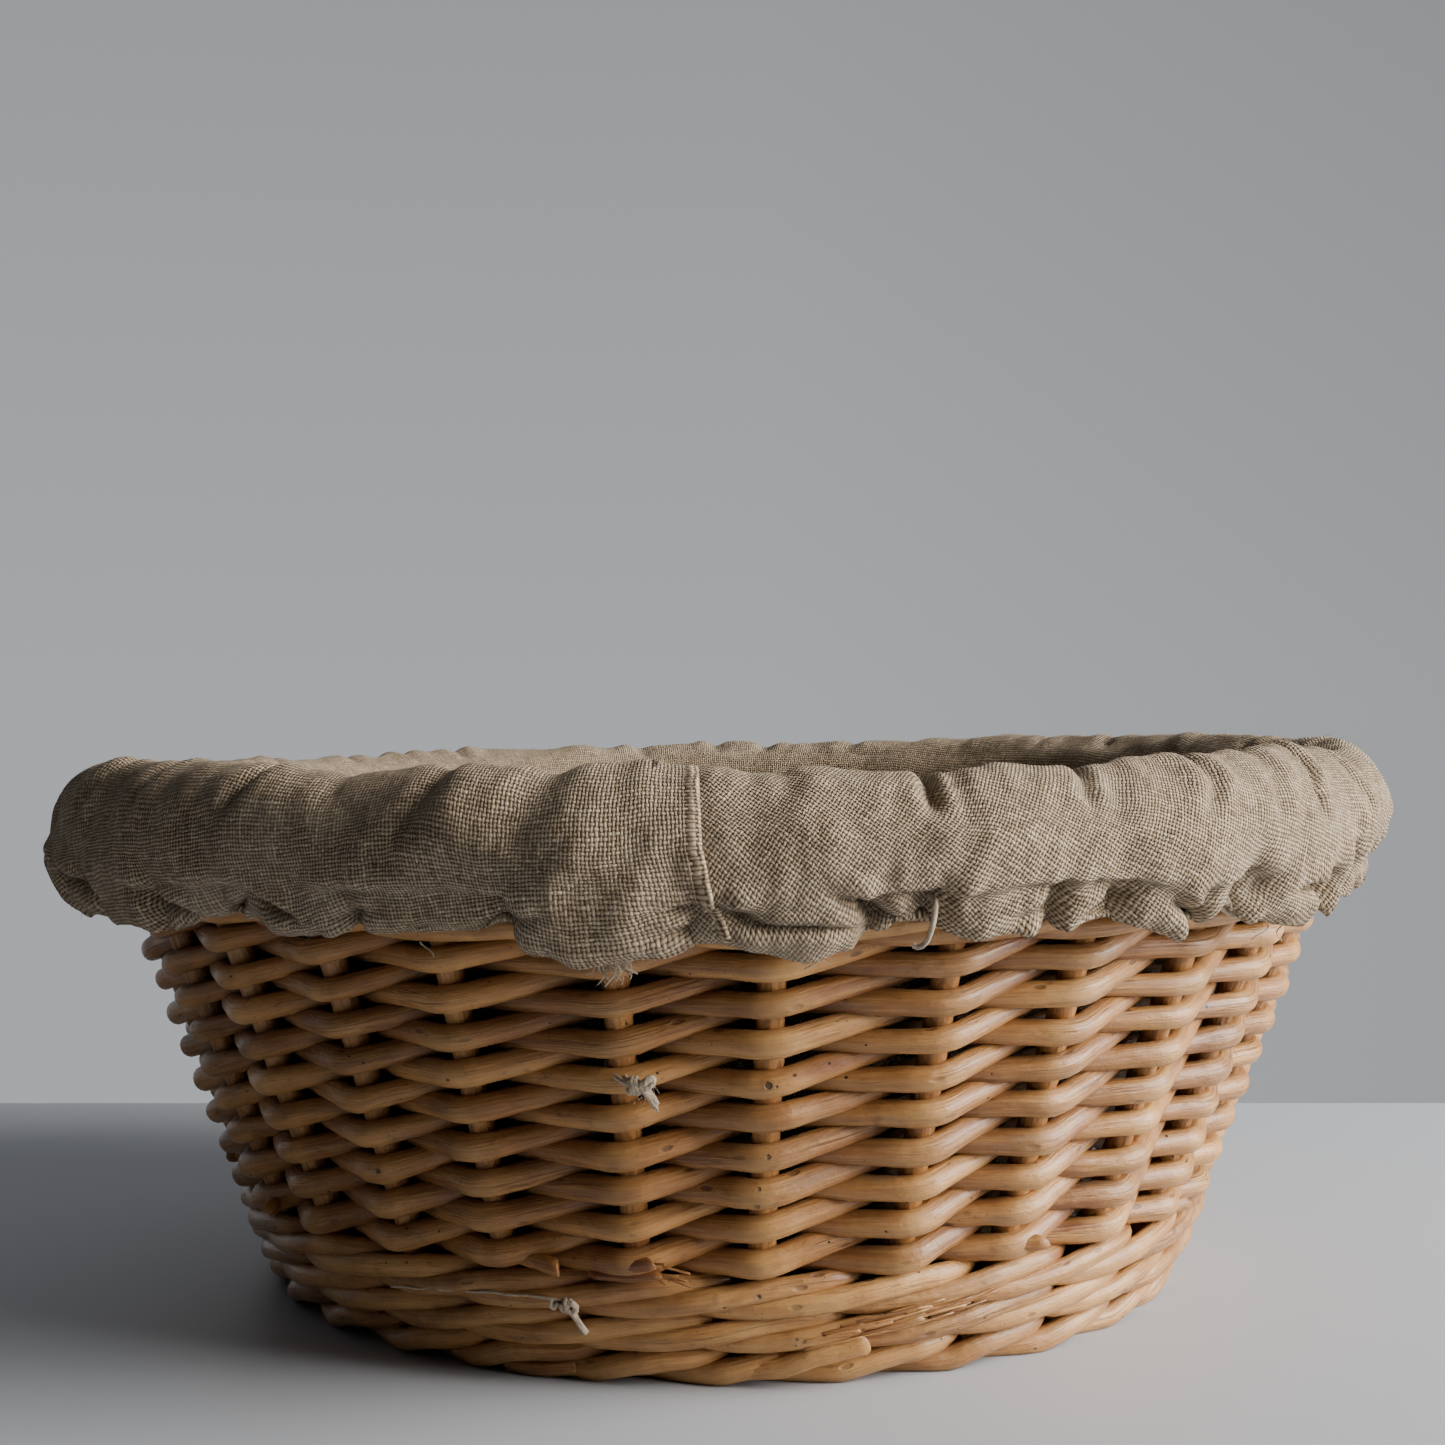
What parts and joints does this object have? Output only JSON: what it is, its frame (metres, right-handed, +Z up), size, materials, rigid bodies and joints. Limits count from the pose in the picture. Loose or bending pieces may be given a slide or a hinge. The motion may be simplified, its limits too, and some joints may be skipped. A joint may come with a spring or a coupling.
{
  "type": "banneton basket",
  "caption": "Round woven willow proving basket with flared sides, a waled foot and a natural linen liner folded over the rim in a soft gathered roll",
  "frame": {"origin": "centre of the basket on the plane it stands on", "axes": "+Z up along the axis of the bowl, -Y the front with the knotted ties, +X to the right seen from the front"},
  "size_m": [0.28, 0.28, 0.109],
  "materials": {
    "willow_rods": "peeled buff willow rods with a thin worn varnish, satin",
    "peeled_willow": "peeled willow sticks and stakes, satin",
    "linen": "natural unbleached linen, plain weave, used and slightly stained",
    "cotton_string": "off-white twisted cotton string"
  },
  "bodies": {
    "root": {"base_stick_slit_1": "peeled_willow", "base_stick_slit_2": "peeled_willow", "base_stick_slit_3": "peeled_willow", "base_stick_slit_4": "peeled_willow", "base_sticks_through": "peeled_willow", "base_weave_inner": "willow_rods", "base_weave_middle": "willow_rods", "base_weave_outer": "willow_rods", "stake_pair_01": "peeled_willow", "stake_pair_02": "peeled_willow", "stake_pair_03": "peeled_willow", "stake_pair_04": "peeled_willow", "stake_pair_05": "peeled_willow", "stake_pair_06": "peeled_willow", "stake_pair_07": "peeled_willow", "stake_pair_08": "peeled_willow", "stake_pair_09": "peeled_willow", "stake_pair_10": "peeled_willow", "stake_pair_11": "peeled_willow", "stake_pair_12": "peeled_willow", "stake_pair_13": "peeled_willow", "stake_pair_14": "peeled_willow", "side_weaver_01": "willow_rods", "side_weaver_02": "willow_rods", "side_weaver_03": "willow_rods", "side_weaver_04": "willow_rods", "side_weaver_05": "willow_rods", "side_weaver_06": "willow_rods", "side_weaver_07": "willow_rods", "side_weaver_08": "willow_rods", "side_weaver_09": "willow_rods", "side_weaver_10": "willow_rods", "side_weaver_11": "willow_rods", "side_weaver_12": "willow_rods", "side_weaver_13": "willow_rods", "side_weaver_14": "willow_rods", "side_weaver_15": "willow_rods", "side_weaver_16": "willow_rods", "side_weaver_17": "willow_rods", "side_weaver_18": "willow_rods", "side_weaver_19": "willow_rods", "side_weaver_20": "willow_rods", "side_weaver_21": "willow_rods", "side_weaver_22": "willow_rods", "side_weaver_23": "willow_rods", "side_weaver_24": "willow_rods", "side_weaver_25": "willow_rods", "side_weaver_26": "willow_rods", "side_weaver_27": "willow_rods", "side_weaver_28": "willow_rods", "foot_wale": "willow_rods", "middle_wale": "willow_rods", "upsett_wale": "willow_rods", "top_wale": "willow_rods", "liner_floor": "linen", "liner_band": "linen", "hem_drawstring": "cotton_string", "tie_upper": "cotton_string", "tie_lower": "cotton_string"}
  },
  "joints": []
}
